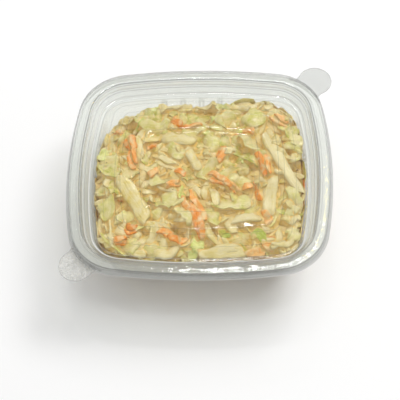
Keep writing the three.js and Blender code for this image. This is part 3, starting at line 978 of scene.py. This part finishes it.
def tops(bed, kinds):
    """Height of the highest cut piece over each cell of the bed."""
    above, bare_depth = 45.0, 1.0
    points, faces, start = [], [], 0
    for strips in kinds:
        cloud = strips.held(bed)
        points += cloud.tolist()
        faces += [[corner + start for corner in face] for face in strips.faces]
        start += len(cloud)
    tree = BVHTree.FromPolygons(points, faces)
    found = bed.height.copy()
    down = Vector((0, 0, -1))
    for i, j in np.ndindex(*found.shape):
        hit = tree.ray_cast(Vector((bed.x[i, j], bed.y[i, j], above)), down)[0]
        found[i, j] = hit.z if hit else bed.goal[i, j] - bare_depth
    return found


def spread(field, cells, pick):
    """The highest or lowest height within a few cells."""
    wide = np.pad(field, cells, mode="edge")
    out = field
    for i in range(-cells, cells + 1):
        for j in range(-cells, cells + 1):
            if i * i + j * j <= cells * cells:
                part = wide[cells + i:, cells + j:][:field.shape[0], :field.shape[1]]
                out = pick(out, part)
    return out


surface = tops(bed, KINDS)
around = blurred(surface, radius=5)
for name, strips, flesh in (
    ("cabbage_shreds", cabbage, cabbage_flesh),
    ("cabbage_ribs", ribs, cabbage_flesh),
    ("cabbage_leaves", leaves, leaf_flesh),
    ("green_shreds", greens, green_flesh),
    ("carrot_shreds", carrots, carrot_flesh),
):
    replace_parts(strips.made(name, flesh, bed, around), "coleslaw")


def salad_core():
    """The dressed middle of the heap: dressing lies between the shreds, and the sides fill the tray."""
    sides = ((25.2, 1.2), (21.4, 2.8), (18.8, 7.6), (17.2, 14.0), (15.9, 19.5))
    shoulder, top, pitch = (14.6, 15.2, 16.0), (17, 63), 0.8
    below, side_below = 0.4, 0.5
    filled = spread(spread(surface, 2, np.maximum), 2, np.minimum)
    pooled = np.minimum(blurred(filled, 1, 1), bed.roof - bed.GOAL_GAP) - below
    rings = []
    for inset, height in sides:
        ring = outline(inset, *CORE_STEPS)
        rings.append(np.column_stack([ring, np.minimum(pooled[bed.cell(ring)] - side_below, height)]))
    for inset in np.concatenate([shoulder, np.arange(*top, pitch)]):
        ring = ring_at(inset, *CORE_STEPS)
        height = pooled[bed.cell(ring)]
        if inset < WALL_BAND:
            height = np.minimum(height, SALAD_EDGE)
        rings.append(np.column_stack([ring, height]))
    faces = joined(len(rings), len(rings[0]))
    points = off_wall(np.vstack(rings))
    # The core takes a middle tint and half of the painted crevice shade all over.
    level = np.full(len(points), 0.5)
    return piece("dressed_core", points, faces, dressing, points[:, :2], tint=level, deep=level)


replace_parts(salad_core(), "coleslaw")

# -------------------- floor, light and camera


def studio_floor(half=3.0):
    """A wide floor of matt white paper, which shows nothing but the tub's soft shadow."""
    made, tree = material("matt_white_sweep")
    paper = add(tree, "BsdfPrincipled", {
        "Base Color": colour("#FAFAFA"), "Roughness": 0.9, "Specular IOR Level": 0.1,
    })
    add(tree, "OutputMaterial", {"Surface": paper})
    mesh = bpy.data.meshes.new("studio_floor")
    corners = [(-half, -half, 0), (half, -half, 0), (half, half, 0), (-half, half, 0)]
    mesh.from_pydata(corners, [], [(0, 1, 2, 3)])
    mesh.materials.append(made)
    placed("studio_floor", mesh)


def area_light(name, place, aim, size, power, code="#FFFFFF", mirrored=False, only=None):
    """A soft box aimed at a point. Only a mirrored one shows in glossy surfaces, and one given a
    collection lights nothing else."""
    light = bpy.data.lights.new(name, "AREA")
    light.shape, light.size, light.size_y = "RECTANGLE", *size
    light.energy = power
    light.color = colour(code)[:3]
    lamp = placed(name, light)
    lamp.location = place
    lamp.rotation_euler = (Vector(aim) - Vector(place)).to_track_quat("-Z", "Y").to_euler()
    lamp.visible_glossy = mirrored
    if only:
        lamp.visible_diffuse = not mirrored
        lamp.light_linking.receiver_collection = only


def camera():
    """Looks down on the tub from a little right of its front, at arm's length."""
    turn, rise, roll = math.radians(-3.97), math.radians(57.0), math.radians(-3.565)
    away = 0.5832
    width_px, focal_px, aim_px = 400, 1120.2, (0.72, -33.09)
    target = Vector((0, 0, RIM_HEIGHT * MM))
    back = Vector((-math.cos(rise) * math.sin(turn), -math.cos(rise) * math.cos(turn), math.sin(rise)))
    right = Vector((math.cos(turn), -math.sin(turn), 0))
    up = back.cross(right)
    tilted_right = math.cos(roll) * right + math.sin(roll) * up
    tilted_up = math.cos(roll) * up - math.sin(roll) * right
    axis = (back * focal_px - tilted_right * aim_px[0] - tilted_up * aim_px[1]).normalized()
    side = tilted_up.cross(axis).normalized()
    pose = Matrix((side, axis.cross(side), axis)).transposed().to_4x4()
    pose.translation = target + back * away
    data = bpy.data.cameras.new("camera")
    data.sensor_width = 36.0
    data.lens = data.sensor_width * focal_px / width_px
    data.clip_start = 0.02
    made = placed("camera", data)
    made.matrix_world = pose
    bpy.context.scene.camera = made


def studio_air():
    """Pale surroundings, dimmer as a light than they look. In reflections they darken overhead."""
    ambient, backdrop_glow = 0.53, 0.95
    low_air, high_air = 1.0, 0.38
    world = bpy.data.worlds.new("studio_air")
    world.use_nodes = True
    tree = world.node_tree
    ray = add(tree, "LightPath").outputs
    seen = add(tree, "Math", {0: ray["Is Camera Ray"], 1: ray["Is Transmission Ray"]}, operation="MAXIMUM")
    skyward = add(tree, "TexCoord").outputs["Generated"]
    rise = add(tree, "SeparateXYZ", {0: skyward}).outputs["Z"]
    mirrored = add(tree, "MapRange", {
        "Value": rise, "From Min": 0.2, "From Max": 0.75, "To Min": low_air, "To Max": high_air,
    })
    dimmed = add(tree, "Mix", {0: ray["Is Glossy Ray"], 2: ambient, 3: mirrored})
    strength = add(tree, "Mix", {0: seen, 2: dimmed, 3: backdrop_glow})
    backdrop = tree.nodes["Background"]
    backdrop.inputs["Color"].default_value = colour("#FFFFFF")
    tree.links.new(strength.outputs[0], backdrop.inputs["Strength"])
    return world


studio_floor()
wet = bpy.data.collections.new("wet_salad")
for cut in (
    "cabbage_shreds", "cabbage_ribs", "cabbage_leaves", "green_shreds", "carrot_shreds", "dressed_core",
):
    wet.objects.link(bpy.data.objects[cut])
low_middle = (0, 0, 0.02)
# The large boxes light the scene.
area_light("key_softbox", (0.95, 0.84, 1.68), low_middle, (1.05, 0.75), 24)
area_light("top_softbox", (0, 0, 1.6), (0, 0, 0), (1.6, 1.6), 1.5)
# The strips and glints are mirrored in the lid and its flange.
area_light("far_strip", (0.18, 1.06, 1.10), (0, 0, 0.04), (0.36, 0.07), 0.7, mirrored=True)
area_light("back_strip", (0.03, 0.637, 1.369), (0.015, -0.06, 0.04), (0.24, 0.065), 0.9, mirrored=True)
area_light("front_glint", (-0.025, 0.60, 1.28), (0, -0.06, 0.04), (0.09, 0.06), 0.4, mirrored=True)
area_light(
    "amber_glint", (0.172, 0.70, 1.28), (0.065, -0.03, 0.04), (0.045, 0.1), 0.12,
    code="#FFE640", mirrored=True,
)
# The salad's own lamps: one shines on its wet faces and one fills its shadows.
area_light("wet_sheen", (0.3, 0.72, 1.15), low_middle, (0.3, 0.3), 12, mirrored=True, only=wet)
area_light("salad_fill", (-0.5, -0.5, 1.1), low_middle, (0.9, 0.9), 5.6, only=wet)
camera()

scene = bpy.context.scene
scene.world = studio_air()
scene.view_settings.view_transform = "Standard"
scene.cycles.transmission_bounces = 14
scene.cycles.max_bounces = 16
scene.cycles.transparent_max_bounces = 64
scene.cycles.use_denoising = True
